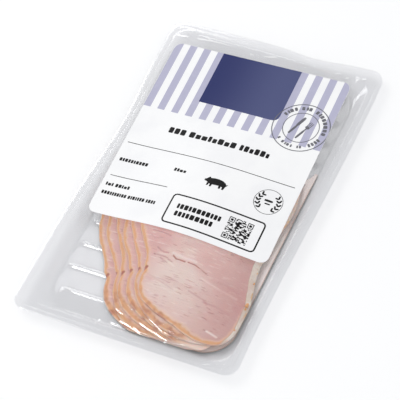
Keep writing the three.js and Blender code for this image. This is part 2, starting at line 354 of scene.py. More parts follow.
# Marks on the slices. A pair holds the value for the lower slices and the one for the top slice
FAT_FROM, FAT_FADE = 14 * MM, 12 * MM   # beside the loin's middle, towards its straight side
FAT_WIDTH = (3.4 * MM, 1.3 * MM)
FAT_GROWTH, FAT_GROWS_FROM, FAT_GROWS_OVER = 2.2 * MM, -88 * MM, 55 * MM
FAT_END = (-82 * MM, -86 * MM)
FAT_END_FADE = 6 * MM
FAT_BORDER = 0.5 * MM
HEART = np.array([14, -61]) * MM        # the palest part of the lean meat
HEART_REACH, HEART_STRETCH = 16 * MM, 1.3
PAINTED_SHADE_SIDE = (16 * MM, 48 * MM)          # x over which painted shade darkens the meat to the right, the side turned from the key light
# Painted pale on the lower slices: partly wet meat, partly painted light in the shade of the slices
# above
SOAKED_PAINTED_LIGHT_CORNER = np.array([24, -74]) * MM
SOAKED_PAINTED_LIGHT_FADE = np.array([12, 5]) * MM
SOAKED_PAINTED_LIGHT_SIDE, SOAKED_PAINTED_LIGHT_SIDE_FADE = 3 * MM, 2 * MM
LOW_END, LOW_END_REACH = -64 * MM, 20 * MM
RIND_GROWTH = (0.7, 0.35)

AIR = 0.3 * MM                  # between the flange and the film
FILM_RISE = 5.7 * MM
FILM_CREST = 1 * MM
FILM_RAMP = 28 * MM
FILM_FALL = (-30 * MM, 62 * MM)


def smooth_step(t):
    t = np.clip(t, 0, 1)
    return t * t * (3 - 2 * t)


def uneven(x, y, length, width, seed):
    """A soft unevenness between -1 and 1, in swells of that length and width."""
    return np.array([noise.noise((p / length, q / width, seed)) for p, q in zip(x, y)])


def film_underside(x, y):
    """The film's height: a long dome over the meat that runs out flat at the empty end."""
    across = np.clip(np.abs(x - FILM_CREST) / (HALF_WIDTH - FLANGE_WIDTH), 0, 1)
    from_end = np.clip((y + HALF_LENGTH - FLANGE_WIDTH) / FILM_RAMP, 0, 1)
    fall = smooth_step((y - FILM_FALL[0]) / (FILM_FALL[1] - FILM_FALL[0]))
    lift = np.cos(math.pi / 2 * across) ** 2 * np.sin(math.pi / 2 * from_end) * (1 - fall)
    return FLANGE_TOP + AIR + FILM_RISE * lift


def closed_curve(points, steps):
    """A smooth closed line through the points."""
    before = np.roll(points, 1, axis=0)
    after = np.roll(points, -1, axis=0)
    beyond = np.roll(points, -2, axis=0)
    t = (np.arange(steps) / steps)[None, :, None]
    p0, p1, p2, p3 = (p[:, None, :] for p in (before, points, after, beyond))
    curve = p1 + 0.5 * t * (p2 - p0 + t * (2 * p0 - 5 * p1 + 4 * p2 - p3
                                           + t * (3 * (p1 - p2) + p3 - p0)))
    return curve.reshape(-1, 2)


def evenly(points, count):
    """The same closed line with its points at equal distances."""
    closed = np.vstack([points, points[:1]])
    along = np.concatenate([[0], np.cumsum(np.hypot(*np.diff(closed, axis=0).T))])
    places = np.arange(count) / count * along[-1]
    return np.column_stack([np.interp(places, along, closed[:, i]) for i in (0, 1)])


def shifted(points, k):
    """Moves points of the loin's cut face from the top slice to slice k."""
    down = SLICE_COUNT - 1 - k
    fan = down * smooth_step((FAN_FROM - points[:, 1]) / FAN_REACH)
    return points + SLICE_STEP * down + FAN * fan[:, None]


def slice_outline(k, waves, fringe=0, notch=0):
    """The cut edge of slice k, counted from the bottom, kept within the tray's walls."""
    plain = evenly(closed_curve(LOIN, 24), 360)
    turn = math.tau * np.arange(len(plain)) / len(plain)
    wave = sum(waves * share * np.sin(count * turn + phase * k) for count, phase, share in WAVES)
    wave += fringe * uneven(*plain.T, FRINGE_SIZE, FRINGE_SIZE, 3.1 * k)
    wave -= notch * bump(np.hypot(*(plain - NOTCH).T), 0, NOTCH_REACH)
    outward = plain - LOIN_MIDDLE
    outward /= np.hypot(*outward.T)[:, None]
    outline = plain + outward * wave[:, None] + shifted(plain, k) - plain
    core = np.clip(outline, [MEAT_RADIUS - MEAT_SIDE, MEAT_RADIUS - MEAT_END],
                   [MEAT_SIDE - MEAT_RADIUS, MEAT_END - MEAT_RADIUS])
    away = outline - core
    reach = np.maximum(np.hypot(*away.T), 1e-9)
    return core + away * np.minimum(1, MEAT_RADIUS / reach)[:, None]


def line_distance(x, y, points, closed=False):
    """Distance from each place to a line through the points."""
    nearest = np.full(x.shape, np.inf)
    ends = np.roll(points, -1, axis=0) if closed else points[1:]
    for a, b in zip(points, ends):
        along = b - a
        share = ((x - a[0]) * along[0] + (y - a[1]) * along[1]) / max(along @ along, 1e-12)
        share = np.clip(share, 0, 1)
        away = np.hypot(x - a[0] - share * along[0], y - a[1] - share * along[1])
        nearest = np.minimum(nearest, away)
    return nearest


def is_inside(x, y, outline):
    inside = np.zeros(x.shape, bool)
    for a, b in zip(outline, np.roll(outline, -1, axis=0)):
        if a[1] == b[1]:
            continue
        crosses = ((a[1] > y) != (b[1] > y)) & (
            x < a[0] + (y - a[1]) / (b[1] - a[1]) * (b[0] - a[0]))
        inside ^= crosses
    return inside


def slice_thickness(x, y):
    """Slices thin out where the film presses the stack down."""
    room = film_underside(x, y) - MEAT_ROOM - STACK_FOOT
    return np.minimum(SLICE, (room - (SLICE_COUNT - 1) * SLICE_GAP) / SLICE_COUNT)


plain_outlines = [slice_outline(k, 0)[::4] for k in range(SLICE_COUNT)]


def slice_underside(k, x, y):
    """A slice lies on all those below it and sinks to the floor past their edges."""
    height = np.full(x.shape, STACK_FOOT)
    for lower in plain_outlines[:k]:
        past = np.where(is_inside(x, y, lower), 0, line_distance(x, y, lower, closed=True))
        cover = 1 - smooth_step((past - WAVE_REACH) / DRAPE)
        height += (slice_thickness(x, y) + SLICE_GAP) * cover
    return height


# Dark slits and creases between the muscles on the top slice: points, width and depth. A crease of
# negative depth is raised and painted pale, as a painted highlight beside a slit or another crease.
SLITS = [
    ([[5.5, -47.6], [7.5, -48.9], [9.5, -48.8], [12.5, -48.9]], 0.62, 1.0),
    ([[14, -48.6], [17.9, -48.7], [21.8, -49.8], [25.7, -51.4]], 0.5, 1.0),
    ([[33.3, -74.1], [35.7, -74.6]], 0.55, 0.8),
    ([[36.4, -80.0], [38.3, -80.6]], 0.55, 0.8),
    ([[7.6, -75.2], [9.4, -75.5]], 0.5, 0.6),
    ([[-4.2, -49.9], [-3.4, -49.9]], 0.5, 0.9),
]
CREASES_AND_HIGHLIGHTS = [
    ([[-10.9, -36.3], [-8, -36.3], [-4.7, -36.5], [-0.9, -37.1]], 0.55, 0.9),
    ([[-4.1, -45.6], [-1.8, -46.8], [0.4, -47.3], [2.5, -46.9]], 0.55, 0.9),
    ([[-4.1, -49.9], [-1, -49.8], [1.9, -49.7], [6.4, -51.4]], 0.5, 0.8),
    ([[-0.1, -51.1], [4.3, -52.5]], 0.5, 0.8),
    ([[-10.9, -39.3], [-8.1, -41], [-4.8, -39.8]], 0.6, 0.5),
    ([[32.1, -53], [38, -53.2], [43.7, -54]], 0.6, 0.7),
    ([[24, -54.5], [33, -56.5], [44, -57.5]], 0.7, -0.5),
    ([[30.4, -66.4], [37, -66.2], [44.1, -67.2]], 0.6, 0.7),
    ([[21, -63.5], [31, -65.6]], 0.6, 0.6),
    ([[-9, -60], [4, -63.5], [14, -66]], 0.6, 0.4),
    ([[38, -80.3], [43.8, -81.4]], 0.5, -1.0),
    ([[3, -51.2], [8.5, -53.4]], 0.5, -0.7),
    ([[5, -46.2], [12, -47], [18, -47]], 1.1, -0.6),
]


def line_marks(x, y, lines):
    """How strongly each place is marked by the lines, fading to both sides."""
    marks = np.zeros(x.shape)
    for points, width, depth in lines:
        points = np.array(points) * MM
        marks += depth * bump(line_distance(x, y, points), 0, width * MM)
    return marks


def face_marks(k, x, y, depth, middle):
    """What shows on each place of a slice, from 0 to 1, and the rind as depth in millimetres."""
    on_top = k == SLICE_COUNT - 1
    vein = (shifted(VEIN, k) / MM, VEIN_WIDTH, VEIN_DEPTH)
    slits = line_marks(x, y, [vein, *SLITS] if on_top else [vein])
    creases_and_highlights = line_marks(x, y, CREASES_AND_HIGHLIGHTS if on_top else [])
    # The band of fat along the loin's straight side, which narrows towards its lower end
    straight = smooth_step((x - middle[0] - FAT_FROM) / FAT_FADE)
    fat_width = FAT_WIDTH[on_top] + FAT_GROWTH * smooth_step((y - FAT_GROWS_FROM) / FAT_GROWS_OVER)
    fat_width *= smooth_step((y - FAT_END[on_top]) / FAT_END_FADE)
    fat = straight * smooth_step((fat_width - depth) / FAT_BORDER + 0.5)
    heart = bump(np.hypot((x - HEART[0]) / HEART_STRETCH, y - HEART[1]), 0, HEART_REACH)
    # The lower slices are painted pale along their fat, and where juice has gathered: this is
    # partly wet meat and partly painted light that lifts the shade of the slices above
    soaked_and_painted_light = np.zeros(x.shape)
    if not on_top:
        soaked_and_painted_light = (smooth_step((x - SOAKED_PAINTED_LIGHT_CORNER[0]) / SOAKED_PAINTED_LIGHT_FADE[0])
                  * smooth_step((SOAKED_PAINTED_LIGHT_CORNER[1] - y) / SOAKED_PAINTED_LIGHT_FADE[1]))
        side = straight * smooth_step((SOAKED_PAINTED_LIGHT_SIDE - depth) / SOAKED_PAINTED_LIGHT_SIDE_FADE)
        soaked_and_painted_light = np.maximum(soaked_and_painted_light, side)
    # Towards the lower end the rind is broad and brown where the slices are drawn over the edge
    low_end = smooth_step((LOW_END - y) / LOW_END_REACH) * (1 - straight)
    rind = depth / (1 + RIND_GROWTH[on_top] * low_end) / MM
    return {"rind": rind, "slit": slits, "crease_and_highlight": creases_and_highlights, "fat": fat, "low_end": low_end,
            "soaked_and_painted_light": soaked_and_painted_light, "heart": heart}


def build_slice(k, columns, rows):
    """One slice: a sheet of squares drawn out to the cut edge, then extruded to its thickness."""
    piece, places = flat_grid(f"loin_slice_{k + 1}", columns, rows)
    outline = slice_outline(k, SCALLOP, fringe=FRINGE, notch=NOTCH_DEPTH)
    middle = LOIN_MIDDLE + SLICE_STEP * (SLICE_COUNT - 1 - k)
    spokes = outline - middle
    angles = np.arctan2(spokes[:, 1], spokes[:, 0])
    order = np.argsort(angles)

    u, v = places[:, 0].copy(), places[:, 1].copy()
    disc_x = u * np.sqrt(1 - v * v / 2)
    disc_y = v * np.sqrt(1 - u * u / 2)
    angle = np.arctan2(disc_y, disc_x)
    reach = np.interp(angle, angles[order], np.hypot(*spokes[order].T), period=math.tau)
    share = np.minimum(np.hypot(disc_x, disc_y), 1) ** EDGE_CROWDING
    x = middle[0] + reach * share * np.cos(angle)
    y = middle[1] + reach * share * np.sin(angle)
    depth = line_distance(x, y, outline[::2], closed=True)

    under = slice_underside(k, x, y)
    thickness = slice_thickness(x, y)
    curl = np.clip(1 - depth / EDGE_ROUND, 0, 1) ** 2
    grain = uneven(x, y, *GRAIN_SIZE, k)
    swell = uneven(x, y, SWELL_SIZE, SWELL_SIZE, k + 7.5)
    marks = face_marks(k, x, y, depth, middle)
    relief = GRAIN_RISE * grain + SWELL_RISE * swell + FAT_RISE * marks["fat"]
    relief -= SLIT_DEPTH * marks["slit"] + CREASE_DEPTH * marks["crease_and_highlight"]
    relief *= np.clip(depth / RELIEF_EDGE, RELIEF_LEAST, 1)
    top = under + thickness * (1 - TOP_CURL * curl) + relief
    bottom = under + BOTTOM_CURL * thickness * curl

    lay_vertices(piece, np.column_stack([x, y, bottom]))
    bpy.ops.object.mode_set(mode="EDIT")
    bpy.ops.mesh.select_all(action="SELECT")
    bpy.ops.mesh.extrude_region_move(TRANSFORM_OT_translate={"value": (0, 0, FIRST_LIFT)})
    bpy.ops.mesh.select_all(action="SELECT")
    bpy.ops.mesh.normals_make_consistent(inside=False)
    bpy.ops.object.mode_set(mode="OBJECT")

    # The extruded face has its own vertices: each stands over the one that it came from
    places = vertex_places(piece)
    foot = {place: i for i, place in enumerate(zip(x.astype(np.float32), y.astype(np.float32)))}
    source = np.array([foot[place] for place in map(tuple, places[:, :2].astype(np.float32))])
    is_upper = places[:, 2] > bottom[source] + FIRST_LIFT / 2
    places[is_upper, 2] = top[source[is_upper]]
    lay_vertices(piece, places)
    for name, values in marks.items():
        write_marks(piece, name, values[source])
    bpy.ops.object.shade_smooth_by_angle(angle=math.radians(70))
    return piece


def shade(red, green, blue):
    """A colour as it is seen, from 0 to 255, in the light values that shaders take."""
    def linear(value):
        value /= 255
        return value / 12.92 if value <= 0.04045 else ((value + 0.055) / 1.055) ** 2.4
    return linear(red), linear(green), linear(blue), 1


class Mixer:
    """Lays colours over each other in one material, each where its masks are."""

    def __init__(self, name, first):
        self.material = bpy.data.materials.new(name)
        self.material.use_nodes = True
        self.surface = self.material.node_tree.nodes["Principled BSDF"]
        self.where = self.add("TexCoord").outputs["Object"]
        self.colour = shade(*first)

    def add(self, kind, inputs=(), **settings):
        return add_node(self.material, kind, inputs, **settings)

    def noise(self, scale, detail=3, stretch=(1, 1, 1)):
        mapping = self.add("Mapping", {"Vector": self.where, "Scale": stretch})
        return self.add("TexNoise", {"Vector": mapping.outputs["Vector"], "Scale": scale,
                                     "Detail": detail}).outputs["Fac"]

    def across(self):
        return self.add("SeparateXYZ", {"Vector": self.where}).outputs["X"]

    def attribute(self, name):
        return self.add("Attribute", attribute_name=name).outputs["Fac"]

    def ramp(self, value, low, high, top=1.0):
        """A mask that is 0 at low and top at high."""
        return self.add("MapRange", {"Value": value, "From Min": low, "From Max": high,
                                     "To Min": 0, "To Max": top},
                        interpolation_type="SMOOTHSTEP").outputs["Result"]

    def patches(self, scale, low, high, top=1.0, **shape):
        """A mask of soft patches, which are the smaller the larger the scale is."""
        return self.ramp(self.noise(scale, **shape), low, high, top)

    def near(self, name, low, high, top=1.0):
        """A mask from one of the marks that the mesh carries."""
        return self.ramp(self.attribute(name), low, high, top)

    def combine(self, operation, first, second):
        return self.add("Math", {0: first, 1: second}, operation=operation).outputs["Value"]

    def lay(self, colour, mask, *more_masks):
        for other in more_masks:
            mask = self.combine("MULTIPLY", mask, other)
        mix = self.add("Mix", {"Factor": mask, "A": self.colour, "B": shade(*colour)},
                       data_type="RGBA")
        self.colour = mix.outputs["Result"]

    def bump(self, height, distance):
        relief = self.add("Bump", {"Height": height, "Distance": distance})
        self.material.node_tree.links.new(relief.outputs["Normal"], self.surface.inputs["Normal"])

    def finish(self, roughness, **sockets):
        self.material.node_tree.links.new(self.colour, self.surface.inputs["Base Color"])
        self.surface.inputs["Roughness"].default_value = roughness
        for name, value in sockets.items():
            self.surface.inputs[name.replace("_", " ")].default_value = value
        return self.material


def loin_material():
    """Cooked lean meat, paler in places and with fine fibres, fat, browned rind and slits, with
    painted shade, painted highlights and painted light laid over it.
    """
    meat = Mixer("smoked_loin", (220, 173, 167))
    meat.lay((229, 199, 190), meat.patches(34, 0.43, 0.64, top=0.85))
    meat.lay((234, 216, 206), meat.near("heart", 0.0, 1.0, top=0.72))
    meat.lay((210, 158, 155), meat.patches(150, 0.52, 0.7, top=0.3, detail=4, stretch=(0.3, 1, 1)))
    meat.lay((242, 222, 214), meat.patches(900, 0.56, 0.7, top=0.55, stretch=(0.14, 1, 1)))
    # Painted shade: the meat is darker towards the right, where less light falls on it
    meat.lay((196, 144, 139), meat.ramp(meat.across(), *PAINTED_SHADE_SIDE, top=0.68))
    meat.lay((186, 128, 126), meat.patches(1300, 0.56, 0.68, detail=2, stretch=(0.12, 1, 1)),
             meat.patches(90, 0.42, 0.62, top=0.62))

    # The rind's layers, with a ragged inner border and a painted highlight along the very edge,
    # scorched in places at the lower end
    ragged = meat.combine("SUBTRACT", meat.attribute("rind"),
                          meat.combine("MULTIPLY", meat.noise(240), 2.6))
    lean = meat.combine("SUBTRACT", 1.0, meat.attribute("fat"))
    meat.lay((238, 202, 172), meat.ramp(ragged, 2.0, -0.2, top=0.75), lean)
    brown = meat.ramp(ragged, 0.95, -0.25, top=0.85)
    meat.lay((220, 160, 108), brown, lean)
    # Painted highlight: a pale line along the very edge of the cut
    meat.lay((236, 206, 186), meat.near("rind", 0.55, 0.1, top=0.7), lean)
    meat.lay((176, 104, 78), meat.patches(260, 0.45, 0.62, top=0.8, detail=4),
             meat.attribute("low_end"), brown, lean)

    # The fat with its seam to the lean meat, and brown spots at its edge
    fat = meat.attribute("fat")
    in_fat = meat.ramp(fat, 0.5, 1.0)
    meat.lay((214, 196, 182), meat.ramp(fat, 0.3, 0.9))
    meat.lay((232, 222, 211), meat.patches(110, 0.45, 0.62, top=0.8), in_fat)
    meat.lay((208, 176, 160), meat.patches(420, 0.55, 0.72, top=0.6), in_fat)
    meat.lay((186, 144, 136), meat.ramp(fat, 0.02, 0.4, top=0.75), meat.ramp(fat, 0.95, 0.5))
    meat.lay((222, 172, 118), meat.patches(190, 0.55, 0.64, top=0.85),
             meat.near("rind", 0.9, 0.3), fat)

    # Partly wet meat, partly painted light: the lower slices are painted pale where the slices
    # above shade them
    meat.lay((244, 220, 208), meat.near("soaked_and_painted_light", 0, 1, top=0.8))
    meat.lay((168, 92, 78), meat.near("slit", 0.3, 0.95, top=0.85),
             meat.patches(170, 0.22, 0.42, detail=2))
    meat.lay((196, 144, 142), meat.near("crease_and_highlight", 0.1, 0.8, top=0.75))
    # Painted highlights: the raised lines of negative depth are painted pale
    meat.lay((246, 228, 220), meat.near("crease_and_highlight", -0.1, -0.8, top=0.8))
    meat.bump(meat.noise(420, detail=5, stretch=(0.25, 1, 1)), 0.14 * MM)
    return meat.finish(0.4, Subsurface_Weight=0.2, Subsurface_Scale=2 * MM)


loin = loin_material()
for k in range(SLICE_COUNT):
    on_top = k == SLICE_COUNT - 1
    piece = build_slice(k, *((130, 190) if on_top else (84, 126)))
    piece.data.materials.append(loin)
    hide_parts(f"slice_{k + 1}")
    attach(piece, "root")


# ---------- the juice
# A thin wet layer of meat juice and soft fat that has run out of the slices and gathered in the
# fold along the tray's lower right corner.

JUICE_FROM = 30 * MM            # y of its upper end, by the tray's right wall
JUICE_TO = 26 * MM              # x of its left end, by the lower wall
JUICE_CORNER = np.array([35, -73.4]) * MM
JUICE_RADIUS = 15.8 * MM
JUICE_BAND = 11 * MM
JUICE_FADE = 14 * MM
JUICE_NARROWEST = 0.15
JUICE_CREEP = 0.5 * MM          # how far it creeps up the wall
JUICE_RIPPLE, JUICE_RIPPLE_SIZE = 0.06 * MM, 6 * MM
SHORE = 0.07                    # width of the browned line at its outer edge, as a share
JUICE_TOP = SHEET + 0.3 * MM
JUICE_SHEET = 0.2 * MM

juice, places = flat_grid("juice_layer", 120, 10)
turn = np.linspace(0, math.pi / 2, 30)
corner = JUICE_CORNER + JUICE_RADIUS * np.column_stack([np.cos(turn), -np.sin(turn)])
route = np.vstack([[corner[0, 0], JUICE_FROM], corner, [JUICE_TO, corner[-1, 1]]])
reach = np.concatenate([[0], np.cumsum(np.hypot(*np.diff(route, axis=0).T))])
along = (places[:, 0] + 1) / 2 * reach[-1]
inward = (1 - places[:, 1]) / 2
step = 0.5 * MM
(edge_x, edge_y), (ahead_x, ahead_y), (behind_x, behind_y) = (
    [np.interp(along + shift, reach, route[:, i]) for i in (0, 1)] for shift in (0, step, -step))
length = np.hypot(ahead_x - behind_x, ahead_y - behind_y)
fade = smooth_step(np.minimum(along, reach[-1] - along) / JUICE_FADE)
band = JUICE_BAND * inward * (JUICE_NARROWEST + (1 - JUICE_NARROWEST) * fade)
x = edge_x + (ahead_y - behind_y) / length * band
y = edge_y - (ahead_x - behind_x) / length * band
wet = uneven(x, y, JUICE_RIPPLE_SIZE, JUICE_RIPPLE_SIZE, 2.5)
height = JUICE_TOP + JUICE_CREEP * (1 - inward) ** 3 * fade + JUICE_RIPPLE * wet
lay_vertices(juice, np.column_stack([x, y, height]))
write_marks(juice, "shore", bump(inward, 0, SHORE))
face_up(juice)
thicken(juice, JUICE_SHEET)
bpy.ops.object.shade_smooth_by_angle(angle=math.radians(60))


def juice_material():
    wet_layer = Mixer("juice", (254, 241, 237))
    wet_layer.lay((254, 246, 240), wet_layer.patches(160, 0.42, 0.64))
    wet_layer.lay((240, 210, 196), wet_layer.patches(420, 0.6, 0.75, top=0.5))
    wet_layer.lay((204, 170, 152), wet_layer.near("shore", 0.35, 1, top=0.8))
    wet_layer.bump(wet_layer.noise(500), 0.1 * MM)
    return wet_layer.finish(0.16, Alpha=0.95)


juice.data.materials.append(juice_material())
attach(juice, "root")


# ---------- the crumbs of crust
# A knob of browned crust and a few crumbs of it, which came off in slicing and hang at the fat
# edge of the top slice.

CRUMBS = (      # place, and half its width, length and height, in millimetres
    (50.3, -58.9, 5.6, 0.9, 1.2, 0.8), (50.2, -60.9, 5.3, 0.5, 0.6, 0.4),
    (49.9, -73.6, 4.9, 0.45, 0.6, 0.35), (49.2, -76.6, 4.7, 0.4, 0.8, 0.35),
    (47.2, -80.6, 4.3, 0.4, 0.6, 0.3), (48.6, -46.2, 6.2, 0.4, 0.7, 0.35),
)
CRUMB_LUMPS, CRUMB_UNEVEN = 1.6, 0.5
crumbs = []
for i, (x, y, z, *half) in enumerate(CRUMBS):
    bpy.ops.object.select_all(action="DESELECT")
    bpy.ops.mesh.primitive_ico_sphere_add(subdivisions=3, radius=1)
    crumb = bpy.context.object
    places = vertex_places(crumb)
    swell = np.array([noise.noise(p * CRUMB_LUMPS + (5 * i, 0, 0)) for p in places])
    places *= (1 + CRUMB_UNEVEN * swell)[:, None]
    lay_vertices(crumb, places * np.array(half) * MM + np.array([x, y, z]) * MM)
    bpy.ops.object.shade_smooth()
    crumbs.append(crumb)
for crumb in crumbs:
    crumb.select_set(True)
bpy.ops.object.join()
crumb.name = "crust_crumbs"
crust = Mixer("crust", (226, 164, 104))
crust.lay((196, 122, 74), crust.patches(900, 0.5, 0.66))
crust.bump(crust.noise(1600), 0.15 * MM)
crumb.data.materials.append(crust.finish(0.45))
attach(crumb, "root")


# ---------- the lid film
# A thin clear film heat-sealed to the flange and drawn tight over the meat. It lies flat on the
# seal, domes over the slices, and has small tension wrinkles where it leaves the rim.

FILM = 0.12 * MM
FILM_SEAT = 0.1 * MM            # the film's underside lies this far over the frame's
FILM_CROWDING = 0.22            # its lines lie closest near both ends
FILM_RIDGE = 0.7 * RIDGE_DEPTH
WRINKLE_TAPER = 1.5 * MM        # a wrinkle sinks to its end height over this length
WRINKLE_END = 0.25

# Tension wrinkles: the points of each crest, its half width and height, all in millimetres
WRINKLES = [
    ([[-17.5, 99.1], [-5.4, 96.8], [6.7, 96.6]], 0.6, 0.28),
    ([[-13, 88.8], [-4.9, 89.3], [1.8, 91.5], [16.2, 92.2], [24.4, 90.8]], 0.6, 0.34),
    ([[15.9, 96.9], [22.6, 95], [31.7, 93.8]], 0.55, 0.32),
    ([[30.2, 96.1], [36.4, 95.4], [43.5, 96.4], [54, 99.2]], 0.6, 0.12),
    ([[18.7, 90.2], [22, 88.6], [26.3, 88.7], [33.2, 88.9], [36.9, 90.2], [40.2, 92.6]], 0.6, 0.5),
    ([[43, 89.5], [49.9, 92.4]], 0.55, 0.45),
    ([[51.7, 89], [52.2, 91.8], [55.6, 94]], 0.5, 0.42),
    ([[40.5, 88], [43, 88.4]], 0.5, 0.25),
    ([[51.9, 39.5], [53.3, 46.3], [54.4, 53.8]], 0.5, 0.28),
    ([[56.7, 58.4], [55.3, 55.3]], 0.5, 0.2),
    ([[-58, 89], [-50, 89.7]], 0.6, 0.2),
    ([[-46, 90], [-36, 91.2], [-24, 90.8]], 0.6, 0.16),
    ([[54.7, 100.1], [58.5, 98.6], [61.8, 94.3], [63.8, 83.7]], 0.6, 0.1),
    ([[43, -99], [56, -94]], 0.45, 0.2),
    ([[54.8, -97.4], [58.5, -94.6]], 0.6, 0.3),
    ([[-16.1, -92.8], [-10.1, -90.9]], 0.7, 0.35),
    ([[6.1, -81.5], [9.1, -82.2]], 0.35, 0.16),
    ([[3, -90.4], [7.6, -92.2], [14.3, -92.1]], 0.75, 0.4),
    ([[8.5, -84.2], [13.5, -86], [17.6, -88], [22.1, -88.7], [27.5, -89.1], [31.4, -88.5]],
     0.4, 0.36),
    ([[13.7, -84.1], [18, -84.3], [21.2, -86.7], [25.9, -87.9], [34, -88.4], [39.7, -87.3]],
     0.4, 0.36),
    ([[5.4, -87.7], [10.9, -89.3], [15.4, -90], [19.2, -91.2], [22.5, -91.7], [28.9, -89.7]],
     0.4, 0.36),
    ([[20.5, -92.9], [28.1, -92.5], [33.2, -91.4]], 0.45, 0.36),
    ([[-4.8, -89.6], [-0.7, -90.5], [3.4, -91.4]], 0.4, 0.36),
    ([[-14.5, -80.5], [-9, -84.5], [-3.2, -86.8]], 0.35, 0.3),
    ([[-10, -76], [-5, -80.3], [1.2, -83.6]], 0.35, 0.26),
    ([[-19.5, -80], [-16.8, -84.2], [-12.6, -87.6]], 0.35, 0.34),
    ([[-8.6, -91.8], [-3.6, -92.3], [1.2, -92.3]], 0.45, 0.34),
]


def wrinkle_height(x, y):
    lift = np.zeros(x.shape)
    for points, width, height in WRINKLES:
        points = np.array(points) * MM
        away = line_distance(x, y, points)
        start, end = (np.hypot(x - p[0], y - p[1]) for p in (points[0], points[-1]))
        taper = smooth_step(np.minimum(start, end) / WRINKLE_TAPER)
        crest = WRINKLE_END + (1 - WRINKLE_END) * taper
        lift += height * MM * crest * bump(away, 0, width * MM)
    return lift


film, places = flat_grid("lid_film_sheet", 160, 300)
places[:, 1] += FILM_CROWDING * np.sin(math.pi * places[:, 1])
x, y = round_corners(places[:, 0] * HALF_WIDTH, places[:, 1] * HALF_LENGTH,
                     HALF_WIDTH, HALF_LENGTH, OUTER_RADIUS)
x, y = pulled(x, y, 1)
from_edge = np.minimum((1 - np.abs(places[:, 0])) * HALF_WIDTH,
                       (1 - np.abs(places[:, 1])) * HALF_LENGTH)
height = film_underside(x, y) + FILM_SEAT + FILM + wrinkle_height(x, y)
height -= LIP_DROP * bump(from_edge, 0, RIDGE_REACH)
height -= FILM_RIDGE * bump(from_edge, SEAL_RIDGE, RIDGE_REACH)
lay_vertices(film, np.column_stack([x, y, height]))
mark_bends(film)
thicken(film, FILM)
bpy.ops.object.shade_smooth_by_angle(angle=math.radians(60))
film.data.materials.append(clear_plastic(
    "film_plastic", tint=(0.993, 0.993, 0.996), mirror=0.035, low_mirror=0.4,
    bend_mirror=0.05, roughness=0.07, ripple_size=9 * MM, ripple_depth=0.03 * MM))
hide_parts("lid_film")
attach(film, "root")


# ---------- the label
# A large paper label with rounded corners, stuck on the film. It follows the film's dome, and
# its lower edge sits a little askew.

LABEL = 0.2 * MM
LABEL_SEAT = 0.35 * MM          # the label's underside over the film's underside
LABEL_X = 51.25 * MM            # half its width and length
LABEL_Y = 60.25 * MM
LABEL_RADIUS = 4.5 * MM
LABEL_CENTRE = np.array([-2.2, 25.5]) * MM
LABEL_TURN = math.radians(1.4)
LOWER_TURN = -0.028             # how far the lower edge slants back, and how much it narrows
LOWER_NARROWING = 0.007


def on_label(x, y, lift=0.0):
    """Places on the flat label, from its centre, as they lie on the pack."""
    lower = (1 - y / LABEL_Y) / 2
    y = y + LOWER_TURN * x * lower
    x = x * (1 - LOWER_NARROWING * lower)
    pack_x = LABEL_CENTRE[0] + x * math.cos(LABEL_TURN) - y * math.sin(LABEL_TURN)
    pack_y = LABEL_CENTRE[1] + x * math.sin(LABEL_TURN) + y * math.cos(LABEL_TURN)
    height = film_underside(pack_x, pack_y) + LABEL_SEAT + LABEL + lift
    return np.column_stack([pack_x, pack_y, height])


label, places = flat_grid("label_paper_sheet", 60, 70)
x, y = round_corners(places[:, 0] * LABEL_X, places[:, 1] * LABEL_Y,
                     LABEL_X, LABEL_Y, LABEL_RADIUS)
lay_vertices(label, on_label(x, y))
thicken(label, LABEL)
bpy.ops.object.shade_smooth_by_angle(angle=math.radians(40))


def paper_grain(material):
    material.bump(material.noise(1800, detail=2), 0.01 * MM)


def paper_material():
    paper = Mixer("label_paper", (246, 246, 246))
    paper.lay((242, 242, 243), paper.patches(60, 0.4, 0.7))
    paper_grain(paper)
    return paper.finish(0.45, Specular_IOR_Level=0.35)


label.data.materials.append(paper_material())
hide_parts("label")
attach(label, "root")
label.visible_shadow = False        # thin paper on clear film lets the light through


# ---------- the printed stripes
# Thirteen pale violet stripes over the label's upper third, printed from edge to edge in one
# thin layer of ink.

INK = 0.03 * MM                 # thickness of a printed layer
INK_MARGIN = 0.05 * MM          # from the label's edge
STRIPE_COUNT = 13
STRIPE_PITCH = 8.2 * MM
STRIPE_FOOT = 13.6 * MM         # y of their lower ends on the label


def flat_plate(centre, size, radius=0.0, step=2.0 * MM):
    """A flat printed shape, as fine a mesh as it needs to follow the label."""
    columns, rows = (max(1, math.ceil(side / step)) for side in size)
    if radius > 0:
        columns, rows = max(columns, 4), max(rows, 4)
    plate, places = flat_grid("plate", columns, rows)
    x, y = places[:, 0] * size[0] / 2, places[:, 1] * size[1] / 2
    if radius > 0:
        x, y = round_corners(x, y, size[0] / 2, size[1] / 2, radius)
    lay_vertices(plate, np.column_stack([x + centre[0], y + centre[1], np.zeros(len(x))]))
    return plate


